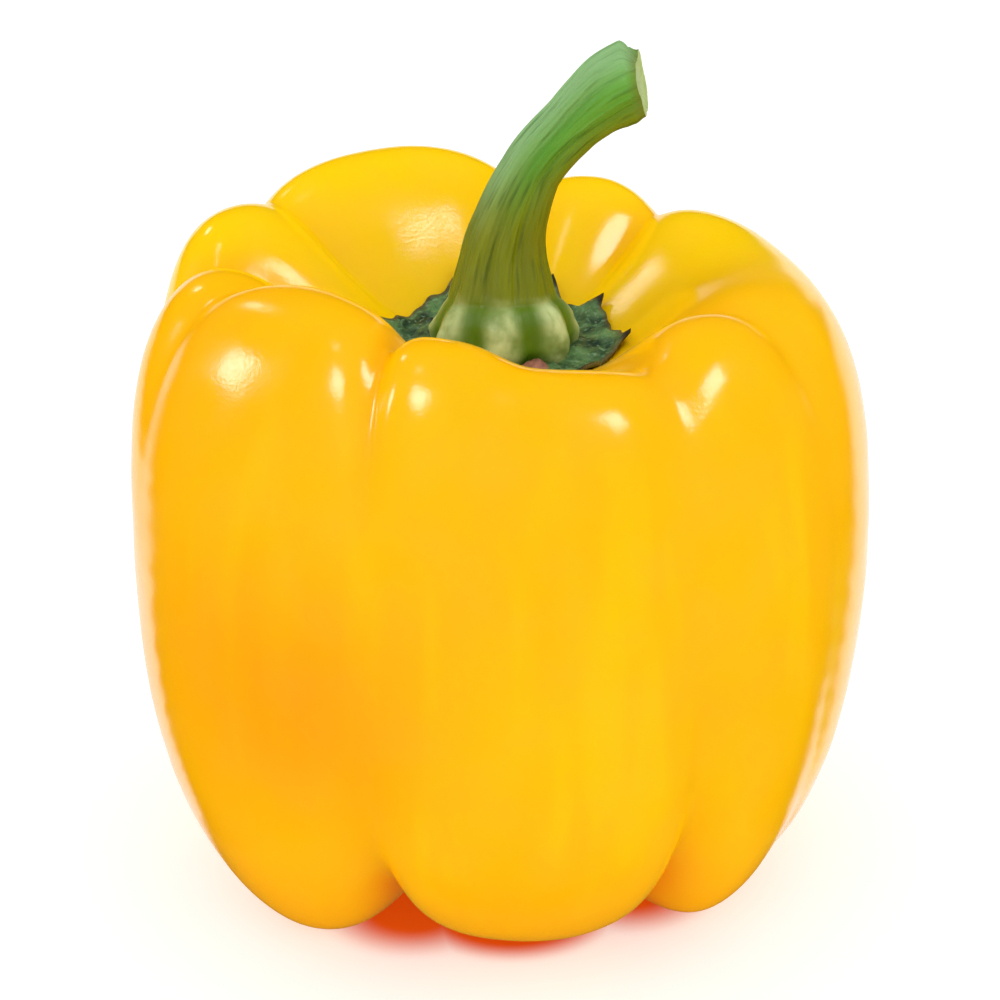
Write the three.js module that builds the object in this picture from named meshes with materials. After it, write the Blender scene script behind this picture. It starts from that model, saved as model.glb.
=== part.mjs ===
// Bell pepper: a lobed fruit with a deep cup, and the calyx and stem that stand in the cup.
// Millimetres, +Z up. The fruit stands on its feet at height 0, with the origin under the middle of
// its box. Azimuths are in degrees, counterclockwise seen from above: 0 is +X, and 270 is the front.

import * as THREE from "three";
import { mergeVertices } from "three/addons/utils/BufferGeometryUtils.js";

// The fruit's profile, from the middle of the cup over the crest and down the flank to the dimple at
// the blossom end. crest and foot say how much of the lobes' own rise and lift a station takes, and
// groove, belly and foot how much of each kind of crease.
const PROFILE = [
  { radius: 0, height: 61, crest: 0, groove: 0, belly: 0, foot: 0 },
  { radius: 8, height: 61.3, crest: 0, groove: 0, belly: 0, foot: 0 },
  { radius: 15.5, height: 65.6, crest: 0.3, groove: 0.35, belly: 0, foot: 0 },
  { radius: 21, height: 71.5, crest: 0.5, groove: 1, belly: 0, foot: 0 },
  { radius: 27.5, height: 76.5, crest: 1, groove: 1, belly: 0, foot: 0 },
  { radius: 36, height: 75.5, crest: 1, groove: 1, belly: 0, foot: 0 },
  { radius: 41.3, height: 65, crest: 0.7, groove: 0.42, belly: 0.2, foot: 0 },
  { radius: 43.2, height: 50, crest: 0, groove: 0, belly: 1, foot: 0 },
  { radius: 42.9, height: 31, crest: 0, groove: 0, belly: 1, foot: 0.05 },
  { radius: 40.3, height: 12.5, crest: 0, groove: 0, belly: 0.35, foot: 0.45 },
  { radius: 30.8, height: -2.6, crest: 0, groove: 0, belly: 0, foot: 1 },
  { radius: 16, height: -0.6, crest: 0, groove: 0, belly: 0, foot: 0.9 },
  { radius: 7, height: 5, crest: 0, groove: 0, belly: 0, foot: 0 },
  { radius: 0, height: 5, crest: 0, groove: 0, belly: 0, foot: 0 },
];
const SPANS = PROFILE.length - 1;

// Places in the profile's list: the crest's top, the belly, where the feet begin, and the feet.
const CREST_STATION = 4;
const BELLY_STATION = 7;
const FIRST_FOOT_STATION = 9;
const FOOT_STATION = 10;

// Creases: azimuth at the crest, lean at the belly and at the foot, depths, and spread, which may
// differ at the crest.
const CREASES = [
  { azimuth: -29, crest: 2.6, belly: 0.35, foot: 1.6, spread: 0.9 },
  { azimuth: 53, crest: 5, belly: 1, foot: 4 },
  { azimuth: 84, crest: 5, belly: 1, foot: 4.5 },
  { azimuth: 145, crest: 3.6, belly: 2, foot: 4.5, spread: 0.9 },
  { azimuth: 176, crest: 5.2, belly: 1.2, foot: 3, spread: 0.9 },
  { azimuth: 200, crest: 2.6, belly: 0, foot: 0, spread: 0.8 },
  { azimuth: 246.5, leanBelly: 5, leanFoot: -1, crest: 3.2, belly: 0.3, foot: 9, spread: 0.7, crestSpread: 0.38 },
  { azimuth: 274, crest: 2, belly: 0.2, foot: 0, spread: 1.5 },
  { azimuth: 302, leanBelly: -3, leanFoot: 6, crest: 4, belly: 0.7, foot: 9, spread: 0.6, crestSpread: 1.1 },
];

// Lobes: each lies between the crease of the same place in the list and the next one.
const LOBES = [
  { rise: -3, crestOut: -1, footOut: -1.5, lift: 1.9 },
  { rise: 0.5, bellyOut: -1.5, lift: 1 },
  { rise: 3 },
  { rise: 1.5, crestOut: 2, bellyOut: -1.5, footOut: 1, lift: 2 },
  { crestOut: 1, footOut: 1, lift: 1.5 },
  { rise: 1.2, crestOut: -2.6, bellyOut: 0.5, footOut: 2 },
  { crestOut: 0.4, footOut: -2, lift: 2.3 },
  { rise: -2.3, crestOut: 2, footOut: -1.5, lift: 1.8 },
  { rise: -0.6, crestOut: -1, footOut: 1 },
];

// Groove half-widths in degrees, and how round a groove's bottom is.
const GROOVE_WIDTH = { crest: 8, belly: 10, foot: 7.5 };
const GROOVE_ROUND = 0.35;

// The fruit's mesh: columns stand about this far apart and crowd towards the creases.
const COLUMN_STEP = 5.5;
const COLUMN_CROWDING = 0.6;
const FEWEST_COLUMNS = 6;
const ROWS_PER_SPAN = [1, 2, 2, 3, 3, 3, 2, 2, 2, 3, 3, 2, 1];

// Clear gap between neighbouring pieces, and how often the search for the cup's floor halves its stretch.
const GAP = 0.35;
const HALVINGS = 30;

// The middle of the stem's foot, a little in front of the fruit's axis.
const FOOT_MIDDLE = { x: 0.4, y: -1.5 };

// Calyx: a saucer that lies in the cup, level under the stem's foot and toothed round its rim.
const CALYX_RADIUS = 13;
const CALYX_LEVEL = 64.4;
const CALYX_LEVEL_RADIUS = 9.3;
const CALYX_SLOPE_END = 12.3;
const CALYX_RIM_THICKNESS = 1.3;
const CALYX_TIP_THICKNESS = 0.8;
const CALYX_COLUMNS = 64;
const CALYX_RINGS = 6;
const CALYX_TEETH = [
  { azimuth: 38, reach: 2.3 },
  { azimuth: 67, reach: 2.8 },
  { azimuth: 107, reach: 2.8 },
  { azimuth: 170, reach: 2.5 },
  { azimuth: 214, reach: 1.6 },
  { azimuth: 262, reach: 1.4 },
  { azimuth: 306, reach: 2.4 },
  { azimuth: 351, reach: 2 },
];
const TOOTH_WIDTH = 8;
const FOLDS = 11;
const FOLD_HEIGHT = 0.35;
const FOLD_TWIST = 0.5;

// Stem: its line, its radius along the line, its ribs, and the slant of its cut end.
const STEM_FOOT_HEIGHT = CALYX_LEVEL + GAP;
const STEM_LINE = [
  [FOOT_MIDDLE.x, FOOT_MIDDLE.y, STEM_FOOT_HEIGHT],
  [FOOT_MIDDLE.x, FOOT_MIDDLE.y, 67],
  [0.3, -0.9, 71],
  [0.8, -0.2, 77],
  [3.5, 0.2, 84.2],
  [7.6, 0, 89.3],
  [11.9, -0.4, 92.9],
  [15.4, -0.9, 94.8],
];
const STEM_RADII = [
  { along: 0, radius: 7.5 },
  { along: 0.05, radius: 8.1 },
  { along: 0.1, radius: 7.4 },
  { along: 0.17, radius: 5.8 },
  { along: 0.27, radius: 4.8 },
  { along: 0.4, radius: 3.9 },
  { along: 0.55, radius: 3.25 },
  { along: 0.75, radius: 3.3 },
  { along: 0.88, radius: 3.8 },
  { along: 1, radius: 4.35 },
];
const STEM_RINGS = 22;
const STEM_SIDES = 35;
const STEM_RIBS = 7;
const RIB_PHASE = -1.38;
const RIB_HEIGHT_AT_FOOT = 0.7;
const RIB_HEIGHT = 0.2;
const RIB_FADE = 0.16;
const CUT_SLANT = -18;
const CUT_SLANT_START = 0.85;

const COLOURS = { fruit: 0xfec000, calyx: 0x3f6b35, stem: 0x6c9a45 };
const ROUGHNESS = { fruit: 0.2, calyx: 0.6, stem: 0.5 };

const radians = THREE.MathUtils.degToRad;
const wrap = (degrees) => THREE.MathUtils.euclideanModulo(degrees, 360);
const apart = (a, b) => Math.abs(wrap(a - b + 180) - 180);
const smooth = (value, low, high) => THREE.MathUtils.smoothstep(value, low, high);
const shareBetween = (value, low, high) => THREE.MathUtils.clamp((value - low) / (high - low), 0, 1);

// A value that passes through each of the given ones at its place and eases between them, round the
// full circle.
function easedRound(places, values, azimuth) {
  const count = places.length;
  const turned = wrap(azimuth - places[0]);
  let index = count - 1;
  while (turned < places[index] - places[0]) index -= 1;
  const here = places[index] - places[0];
  const next = index + 1 < count ? places[index + 1] - places[0] : 360;
  const blend = (1 - Math.cos((Math.PI * (turned - here)) / (next - here))) / 2;
  return THREE.MathUtils.lerp(values[index], values[(index + 1) % count], blend);
}

const CREASE_PLACES = CREASES.map((crease) => crease.azimuth);
const nextCrease = (k) => CREASE_PLACES[k + 1] ?? CREASE_PLACES[0] + 360;
const LOBE_PLACES = CREASE_PLACES.map((place, k) => (place + nextCrease(k)) / 2);

function ofLobes(key, azimuth) {
  return easedRound(LOBE_PLACES, LOBES.map((lobe) => lobe[key] ?? 0), azimuth);
}

function ofCreases(key, azimuth) {
  return easedRound(CREASE_PLACES, CREASES.map((crease) => crease[key] ?? 0), azimuth);
}

// Depth of the grooves of one kind at an azimuth: steep beside the crease line, fading outwards.
function grooves(kind, azimuth) {
  let depth = 0;
  for (const crease of CREASES) {
    const spread = (kind === "crest" ? crease.crestSpread : undefined) ?? crease.spread ?? 1;
    const x = apart(azimuth, crease.azimuth) / (GROOVE_WIDTH[kind] * spread);
    depth += crease[kind] * Math.exp(GROOVE_ROUND - Math.hypot(x, GROOVE_ROUND));
  }
  return depth;
}

// The relief round the fruit at one azimuth.
function reliefAt(azimuth) {
  return {
    crest: grooves("crest", azimuth),
    belly: grooves("belly", azimuth),
    foot: grooves("foot", azimuth),
    rise: ofLobes("rise", azimuth),
    crestOut: ofLobes("crestOut", azimuth),
    bellyOut: ofLobes("bellyOut", azimuth),
    footOut: ofLobes("footOut", azimuth),
    lift: ofLobes("lift", azimuth),
    leanBelly: ofCreases("leanBelly", azimuth),
    leanFoot: ofCreases("leanFoot", azimuth),
  };
}

// Outward direction of the profile at a station, square to the line between its neighbours.
function profileNormal(index) {
  const before = PROFILE[Math.max(index - 1, 0)];
  const after = PROFILE[Math.min(index + 1, SPANS)];
  const along = new THREE.Vector2(after.radius - before.radius, after.height - before.height).normalize();
  return new THREE.Vector2(-along.y, along.x);
}

const NORMALS = PROFILE.map((station, index) => profileNormal(index));

// One control point of the skin: the station's place, moved by the relief at this azimuth.
function controlPoint(index, azimuth, relief) {
  const station = PROFILE[index];
  if (station.radius === 0) return new THREE.Vector3(0, 0, station.height);
  const cut = station.groove * relief.crest + station.belly * relief.belly + station.foot * relief.foot;
  const crestOut = station.crest * relief.crestOut;
  const out = crestOut + station.belly * relief.bellyOut + station.foot * relief.footOut;
  const lift = index >= FIRST_FOOT_STATION ? station.foot * relief.lift : 0;
  const radius = station.radius + out - NORMALS[index].x * cut;
  const height = station.height + station.crest * relief.rise + lift - NORMALS[index].y * cut;
  const down = shareBetween(index, CREST_STATION, BELLY_STATION);
  const low = shareBetween(index, BELLY_STATION, FOOT_STATION);
  const turned = radians(azimuth + relief.leanBelly * down * (1 - low) + relief.leanFoot * low);
  return new THREE.Vector3(radius * Math.cos(turned), radius * Math.sin(turned), height);
}

// The column of control points at an azimuth, with a mirrored one past each pole so that the skin is
// smooth there.
function controlColumn(azimuth) {
  const relief = reliefAt(azimuth);
  const column = PROFILE.map((station, index) => controlPoint(index, azimuth, relief));
  const mirrored = (point) => new THREE.Vector3(-point.x, -point.y, point.z);
  return [mirrored(column[1]), ...column, mirrored(column[SPANS - 1])];
}

// A point of the skin: place runs from 0 in the cup to SPANS in the dimple. The curve is a uniform
// cubic B-spline, and it is cut level where the feet stand.
function skinPoint(column, place) {
  const span = Math.min(Math.floor(place), SPANS - 1);
  const t = place - span;
  const weights = [(1 - t) ** 3, 3 * t ** 3 - 6 * t ** 2 + 4, -3 * t ** 3 + 3 * t ** 2 + 3 * t + 1, t ** 3];
  const point = new THREE.Vector3();
  weights.forEach((weight, k) => point.addScaledVector(column[span + k], weight / 6));
  point.z = Math.max(point.z, 0);
  return point;
}

// Azimuths of the fruit's columns, lobe by lobe, one on each crease and closer together beside it.
function columnAzimuths() {
  const azimuths = [];
  CREASE_PLACES.forEach((start, k) => {
    const end = nextCrease(k);
    const count = Math.max(FEWEST_COLUMNS, Math.round((end - start) / COLUMN_STEP));
    for (let i = 0; i < count; i += 1) {
      const even = i / count;
      const eased = even - (COLUMN_CROWDING * Math.sin(2 * Math.PI * even)) / (2 * Math.PI);
      azimuths.push(start + (end - start) * eased);
    }
  });
  return azimuths;
}

// Places of the fruit's rows between the poles, without the poles themselves.
function rowPlaces() {
  const places = [];
  ROWS_PER_SPAN.forEach((rows, span) => {
    for (let i = 0; i < rows; i += 1) places.push(span + i / rows);
  });
  return places.slice(1);
}

// A closed body from rings of points, each ring counterclockwise seen from the first pole.
function closedBody(firstPole, rings, lastPole) {
  const count = rings[0].length;
  const points = [firstPole, ...rings.flat(), lastPole];
  const at = (ring, side) => 1 + ring * count + (side % count);
  const faces = [];
  for (let side = 0; side < count; side += 1) {
    faces.push(0, at(0, side), at(0, side + 1));
    for (let ring = 0; ring + 1 < rings.length; ring += 1) {
      faces.push(at(ring, side), at(ring + 1, side), at(ring + 1, side + 1));
      faces.push(at(ring, side), at(ring + 1, side + 1), at(ring, side + 1));
    }
    faces.push(at(rings.length - 1, side), points.length - 1, at(rings.length - 1, side + 1));
  }
  const geometry = new THREE.BufferGeometry().setFromPoints(points);
  geometry.setIndex(faces);
  const merged = mergeVertices(geometry);
  merged.computeVertexNormals();
  return merged;
}

function fruitGeometry() {
  const columns = columnAzimuths().map(controlColumn);
  const rings = rowPlaces().map((place) => columns.map((column) => skinPoint(column, place)));
  return closedBody(skinPoint(columns[0], 0), rings, skinPoint(columns[0], SPANS));
}

// Height of the cup's floor at a radius: halves the stretch of skin until it meets that radius.
function cupHeight(column, radius) {
  let low = 0;
  let high = CREST_STATION;
  for (let step = 0; step < HALVINGS; step += 1) {
    const middle = (low + high) / 2;
    const point = skinPoint(column, middle);
    if (Math.hypot(point.x, point.y) < radius) low = middle;
    else high = middle;
  }
  return skinPoint(column, low).z;
}

// How strongly a tooth shows at an azimuth, from 0 between the teeth to 1 on a tip.
function toothAt(azimuth) {
  const shares = CALYX_TEETH.map((tooth) => Math.exp(-apart(azimuth, tooth.azimuth) / TOOTH_WIDTH));
  return Math.max(...shares);
}

function calyxRim(azimuth) {
  let radius = CALYX_RADIUS;
  for (const tooth of CALYX_TEETH) {
    radius += tooth.reach * Math.exp(-apart(azimuth, tooth.azimuth) / TOOTH_WIDTH);
  }
  return radius;
}

// The calyx's top: level under the stem, then up to the rim, with folds that run outwards.
function calyxTop(column, azimuth, radius) {
  const tooth = toothAt(azimuth);
  const x = radius * Math.cos(radians(azimuth)) - FOOT_MIDDLE.x;
  const y = radius * Math.sin(radians(azimuth)) - FOOT_MIDDLE.y;
  const rise = smooth(Math.hypot(x, y), CALYX_LEVEL_RADIUS, CALYX_SLOPE_END);
  const thickness = THREE.MathUtils.lerp(CALYX_RIM_THICKNESS, CALYX_TIP_THICKNESS, tooth * rise);
  const fold = FOLD_HEIGHT * rise * (1 - tooth) * Math.sin(FOLDS * radians(azimuth) + FOLD_TWIST * radius);
  const lying = cupHeight(column, radius) + GAP + thickness + fold;
  return THREE.MathUtils.lerp(CALYX_LEVEL, lying, rise);
}

function calyxRing(share, heightAt) {
  const ring = [];
  for (let k = 0; k < CALYX_COLUMNS; k += 1) {
    const azimuth = (360 * k) / CALYX_COLUMNS;
    const column = controlColumn(azimuth);
    const radius = calyxRim(azimuth) * share;
    const turned = radians(azimuth);
    const height = heightAt(column, azimuth, radius);
    ring.push(new THREE.Vector3(radius * Math.cos(turned), radius * Math.sin(turned), height));
  }
  return ring;
}

function calyxGeometry() {
  const underside = (column, azimuth, radius) => cupHeight(column, radius) + GAP;
  const rings = [];
  for (let k = 1; k <= CALYX_RINGS; k += 1) rings.push(calyxRing(k / CALYX_RINGS, calyxTop));
  for (let k = CALYX_RINGS; k >= 1; k -= 1) rings.push(calyxRing(k / CALYX_RINGS, underside));
  const middle = controlColumn(0);
  const topPole = new THREE.Vector3(0, 0, CALYX_LEVEL);
  const bottomPole = new THREE.Vector3(0, 0, skinPoint(middle, 0).z + GAP);
  return closedBody(topPole, rings, bottomPole);
}

// The stem's radius at a share of its length, straight between the listed ones.
function stemRadius(along) {
  let next = STEM_RADII.findIndex((knot) => knot.along >= along);
  next = Math.max(next, 1);
  const low = STEM_RADII[next - 1];
  const high = STEM_RADII[next];
  return THREE.MathUtils.lerp(low.radius, high.radius, (along - low.along) / (high.along - low.along));
}

function stemRing(curve, along) {
  const middle = curve.getPointAt(along);
  const tangent = curve.getTangentAt(along);
  const away = new THREE.Vector3(0, 1, 0).addScaledVector(tangent, -tangent.y).normalize();
  const across = new THREE.Vector3().crossVectors(away, tangent);
  const slant = Math.tan(radians(CUT_SLANT)) * smooth(along, CUT_SLANT_START, 1);
  const ribs = THREE.MathUtils.lerp(RIB_HEIGHT_AT_FOOT, RIB_HEIGHT, smooth(along, 0, RIB_FADE));
  const ring = [];
  for (let side = 0; side < STEM_SIDES; side += 1) {
    const turn = (2 * Math.PI * side) / STEM_SIDES;
    const radius = stemRadius(along) + ribs * Math.cos(STEM_RIBS * turn + RIB_PHASE);
    const point = middle.clone();
    point.addScaledVector(across, radius * Math.cos(turn));
    point.addScaledVector(away, radius * Math.sin(turn));
    point.addScaledVector(tangent, slant * radius * Math.cos(turn));
    ring.push(point);
  }
  return ring;
}

function stemGeometry() {
  const curve = new THREE.CatmullRomCurve3(STEM_LINE.map((point) => new THREE.Vector3(...point)));
  const rings = [];
  for (let k = STEM_RINGS; k >= 0; k -= 1) rings.push(stemRing(curve, k / STEM_RINGS));
  return closedBody(curve.getPointAt(1), rings, curve.getPointAt(0));
}

function named(name, geometry) {
  const look = { color: COLOURS[name], roughness: ROUGHNESS[name], metalness: 0 };
  const material = new THREE.MeshStandardMaterial(look);
  const mesh = new THREE.Mesh(geometry, material);
  mesh.name = name;
  return mesh;
}

const group = new THREE.Group();
group.add(named("fruit", fruitGeometry()));
group.add(named("calyx", calyxGeometry()));
group.add(named("stem", stemGeometry()));

const middle = new THREE.Box3().setFromObject(group).getCenter(new THREE.Vector3());
group.position.set(-middle.x, -middle.y, 0);

export default group;
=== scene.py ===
import math

import bpy
import numpy as np
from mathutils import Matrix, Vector, noise


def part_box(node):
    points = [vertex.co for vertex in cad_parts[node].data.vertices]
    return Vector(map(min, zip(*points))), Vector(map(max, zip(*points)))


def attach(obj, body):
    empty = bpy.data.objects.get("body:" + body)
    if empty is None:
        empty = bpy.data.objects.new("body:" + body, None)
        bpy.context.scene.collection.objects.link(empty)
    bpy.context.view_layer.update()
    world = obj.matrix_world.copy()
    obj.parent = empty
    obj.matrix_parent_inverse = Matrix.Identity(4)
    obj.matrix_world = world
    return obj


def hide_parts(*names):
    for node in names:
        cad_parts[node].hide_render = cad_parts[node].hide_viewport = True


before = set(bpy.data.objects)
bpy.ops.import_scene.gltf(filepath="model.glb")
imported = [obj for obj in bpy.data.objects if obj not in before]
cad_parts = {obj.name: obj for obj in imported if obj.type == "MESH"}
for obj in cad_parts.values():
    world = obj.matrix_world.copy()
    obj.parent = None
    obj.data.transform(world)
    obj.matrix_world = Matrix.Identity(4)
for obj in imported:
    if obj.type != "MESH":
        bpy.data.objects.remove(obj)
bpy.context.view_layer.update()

# Yellow bell pepper: fruit, calyx and stem as fine meshes that stand for the frame's three nodes.
# Shapes are worked out in millimetres, as in the frame's source, and written in metres.
# Azimuths are in degrees, counterclockwise seen from above: 0 is +X, and 270 faces the camera.

MM = 0.001
FULL_TURN = 360.0
UP = np.array([0.0, 0.0, 1.0])

# The fruit's profile, from the middle of the cup over the crest to the dimple underneath:
# radius, height, and how much a station takes of the lobes at the crest, of the crest creases, of the
# lobes and creases at the belly, and of those at the foot.
PROFILE = np.array([
    (0.0, 61.0, 0.0, 0.0, 0.0, 0.0),
    (8.0, 61.3, 0.0, 0.0, 0.0, 0.0),
    (15.5, 65.6, 0.3, 0.35, 0.0, 0.0),
    (21.0, 71.5, 0.5, 1.0, 0.0, 0.0),
    (27.5, 76.5, 1.0, 1.0, 0.0, 0.0),
    (36.0, 75.5, 1.0, 1.0, 0.0, 0.0),
    (41.3, 65.0, 0.7, 0.42, 0.2, 0.0),
    (43.2, 50.0, 0.0, 0.0, 1.0, 0.0),
    (42.9, 31.0, 0.0, 0.0, 1.0, 0.05),
    (40.3, 12.5, 0.0, 0.0, 0.35, 0.45),
    (30.8, -2.6, 0.0, 0.0, 0.0, 1.0),
    (16.0, -0.6, 0.0, 0.0, 0.0, 0.9),
    (7.0, 5.0, 0.0, 0.0, 0.0, 0.0),
    (0.0, 5.0, 0.0, 0.0, 0.0, 0.0),
])
SPANS = len(PROFILE) - 1
CREST_STATION = 4
BELLY_STATION = 7
FIRST_FOOT_STATION = 9
FOOT_STATION = 10

# Creases: azimuth at the crest, lean at the belly and at the foot, depth at the crest, at the belly
# and at the foot, spread at the crest, and spread below it.
CREASES = np.array([
    (-29.0, 0.0, 0.0, 2.6, 0.35, 1.6, 0.9, 0.9),
    (53.0, 0.0, 0.0, 5.0, 1.0, 4.0, 1.0, 1.0),
    (84.0, 0.0, 0.0, 5.0, 1.0, 4.5, 1.0, 1.0),
    (145.0, 0.0, 0.0, 3.6, 2.0, 4.5, 0.9, 0.9),
    (176.0, 0.0, 0.0, 5.2, 1.2, 3.0, 0.9, 0.9),
    (200.0, 0.0, 0.0, 2.6, 0.0, 0.0, 0.8, 0.8),
    (246.5, 5.0, -1.0, 3.2, 0.3, 9.0, 0.38, 0.7),
    (274.0, 0.0, 0.0, 2.0, 0.2, 0.0, 1.5, 1.5),
    (302.0, -3.0, 6.0, 4.0, 0.7, 9.0, 1.1, 0.6),
])

# Which column of the creases holds what, and how wide and how sharp the grooves are.
AZIMUTHS = 0
LEANS = {"lean_belly": 1, "lean_foot": 2}
DEPTHS = {"crest": 3, "belly": 4, "foot": 5}
CREST_SPREAD = 6
LOW_SPREAD = 7
GROOVE_WIDTH = {"crest": 8.0, "belly": 10.0, "foot": 7.5}
GROOVE_ROUND = 0.35

# Lobes, each between its crease and the next: crest rise, crest out, belly out, foot out, foot lift.
LOBES = np.array([
    (-3.0, -1.0, 0.0, -1.5, 1.9),
    (0.5, 0.0, -1.5, 0.0, 1.0),
    (3.0, 0.0, 0.0, 0.0, 0.0),
    (1.5, 2.0, -1.5, 1.0, 2.0),
    (0.0, 1.0, 0.0, 1.0, 1.5),
    (1.2, -2.6, 0.5, 2.0, 0.0),
    (0.0, 0.4, 0.0, -2.0, 2.3),
    (-2.3, 2.0, 0.0, -1.5, 1.8),
    (-0.6, -1.0, 0.0, 1.0, 0.0),
])
LOBE_KINDS = ("rise", "crest_out", "belly_out", "foot_out", "lift")

FRUIT_COLUMNS = 480
FRUIT_ROWS_PER_SPAN = 15

# Unevenness of the skin: height, size and seed of the slow dents and of the finer ones. It fades out
# towards the level that the feet rest on.
DENTS = ((0.22, 17.0, 3.0), (0.08, 7.0, 8.0))
DENTS_FROM, DENTS_IN_FULL = 0.5, 8.0

# The corky button in the dimple underneath, where the blossom was.
BUTTON_RADIUS = 2.4
BUTTON_HEIGHT = 0.9
BUTTON_LUMPS = (0.3, 1.1, 6.0)
BUTTON_BELOW = 20.0


def apart(a, b):
    """Degrees between two azimuths, the shorter way round."""
    half = FULL_TURN / 2.0
    return np.abs((a - b + half) % FULL_TURN - half)


def ease(value, low, high):
    """0 at low, 1 at high, smooth between and held outside."""
    t = np.clip((value - low) / (high - low), 0.0, 1.0)
    return t * t * (3.0 - 2.0 * t)


def share_between(index, first, last):
    """How far a station is on its way from one station to another, from 0 to 1."""
    return min(max((index - first) / (last - first), 0.0), 1.0)


def bell(distance, width, power=2):
    """1 in the middle, falling to about a third at the width."""
    return np.exp(-(distance / width) ** power)


def eased_round(places, values, azimuth):
    """Values that pass through the given ones at their places and ease between them all round."""
    turned = (azimuth - places[0]) % FULL_TURN
    starts = places - places[0]
    index = np.searchsorted(starts, turned, side="right") - 1
    ends = np.append(starts[1:], FULL_TURN)
    blend = (1.0 - np.cos(np.pi * (turned - starts[index]) / (ends[index] - starts[index]))) / 2.0
    return values[index] + (values[(index + 1) % len(places)] - values[index]) * blend


CREASE_PLACES = CREASES[:, AZIMUTHS]
NEXT_CREASES = np.append(CREASE_PLACES[1:], CREASE_PLACES[0] + FULL_TURN)
LOBE_PLACES = (CREASE_PLACES + NEXT_CREASES) / 2.0


def grooves(kind, depths, azimuth):
    """Depth of the grooves of one kind: steep beside the crease line and fading outwards."""
    spread = CREASES[:, CREST_SPREAD if kind == "crest" else LOW_SPREAD]
    x = apart(azimuth[:, None], CREASE_PLACES) / (GROOVE_WIDTH[kind] * spread)
    return (depths * np.exp(GROOVE_ROUND - np.hypot(x, GROOVE_ROUND))).sum(axis=1)


def relief_at(azimuth):
    """The relief round the fruit, each kind as one value for each azimuth."""
    found = {kind: grooves(kind, CREASES[:, column], azimuth) for kind, column in DEPTHS.items()}
    for kind, column in LEANS.items():
        found[kind] = eased_round(CREASE_PLACES, CREASES[:, column], azimuth)
    for column, kind in enumerate(LOBE_KINDS):
        found[kind] = eased_round(LOBE_PLACES, LOBES[:, column], azimuth)
    return found


def profile_normals():
    """Outward directions of the profile, square to the line between each station's neighbours."""
    line = PROFILE[:, :2]
    stations = np.arange(SPANS + 1)
    along = line[np.minimum(stations + 1, SPANS)] - line[np.maximum(stations - 1, 0)]
    along = along / np.linalg.norm(along, axis=1)[:, None]
    return np.stack([-along[:, 1], along[:, 0]], axis=1)


def control_net(azimuth):
    """Control points of the skin, station by station, with a mirrored one past each pole."""
    relief = relief_at(azimuth)
    normals = profile_normals()
    net = np.zeros((SPANS + 1, len(azimuth), 3))
    for index, (radius, height, crest, groove, belly, foot) in enumerate(PROFILE):
        cut = groove * relief["crest"] + belly * relief["belly"] + foot * relief["foot"]
        out = crest * relief["crest_out"] + belly * relief["belly_out"] + foot * relief["foot_out"]
        lift = foot * relief["lift"] if index >= FIRST_FOOT_STATION else 0.0
        pole = radius == 0.0
        across = 0.0 if pole else radius + out - normals[index, 0] * cut
        up = height if pole else height + crest * relief["rise"] + lift - normals[index, 1] * cut
        down = share_between(index, CREST_STATION, BELLY_STATION)
        low = share_between(index, BELLY_STATION, FOOT_STATION)
        turned = azimuth + relief["lean_belly"] * down * (1.0 - low) + relief["lean_foot"] * low
        net[index, :, 0] = across * np.cos(np.radians(turned))
        net[index, :, 1] = across * np.sin(np.radians(turned))
        net[index, :, 2] = up
    mirror = np.array([-1.0, -1.0, 1.0])
    return np.concatenate([net[1:2] * mirror, net, net[-2:-1] * mirror])


def skin_row(net, place):
    """One row of the skin, a cubic B-spline that rests on the floor where it would dip below.

    place runs from 0 in the cup to SPANS in the dimple underneath.
    """
    span = min(int(place), SPANS - 1)
    t = place - span
    weights = ((1 - t) ** 3, 3 * t ** 3 - 6 * t ** 2 + 4, -3 * t ** 3 + 3 * t ** 2 + 3 * t + 1, t ** 3)
    row = sum(weight / 6.0 * net[span + k] for k, weight in enumerate(weights))
    row[:, 2] = np.maximum(row[:, 2], 0.0)
    return row


def make_object(name, points, faces):
    mesh = bpy.data.meshes.new(name)
    mesh.from_pydata(points.tolist(), [], faces)
    mesh.polygons.foreach_set("use_smooth", np.ones(len(mesh.polygons), dtype=bool))
    made = bpy.data.objects.new(name, mesh)
    bpy.context.scene.collection.objects.link(made)
    return made


def closed_faces(rings, count):
    """Faces of a body of rings between two poles. Points: first pole, ring by ring, last pole."""
    last = 1 + rings * count
    faces = []
    for side in range(count):
        after = (side + 1) % count
        faces.append((0, 1 + side, 1 + after))
        faces.append((last - count + side, last, last - count + after))
        for ring in range(rings - 1):
            here = 1 + ring * count
            faces.append((here + side, here + count + side, here + count + after, here + after))
    return faces


def closed_points(first, rows, last):
    return np.concatenate([np.asarray(first)[None], np.concatenate(rows), np.asarray(last)[None]])


def between_poles(first, values, last):
    """One number for each point of a closed body: first pole, the rings' values, last pole."""
    return np.concatenate([[first], values, [last]])


def give(piece, name, values):
    """Keeps one number for each point, for the materials to read."""
    attribute = piece.data.attributes.new(name, "FLOAT", "POINT")
    attribute.data.foreach_set("value", np.asarray(values, dtype=np.float32))


def noisy(points, size, seed):
    """Smooth noise from about -1 to 1 over points in millimetres, with features of about size."""
    return np.array([noise.noise(Vector(p) / size + Vector((seed, seed, seed))) for p in points])


def lumpy(points, layers):
    """Sum of noise layers, each a height, a size and a seed."""
    return sum(height * noisy(points, size, seed) for height, size, seed in layers)


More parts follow.
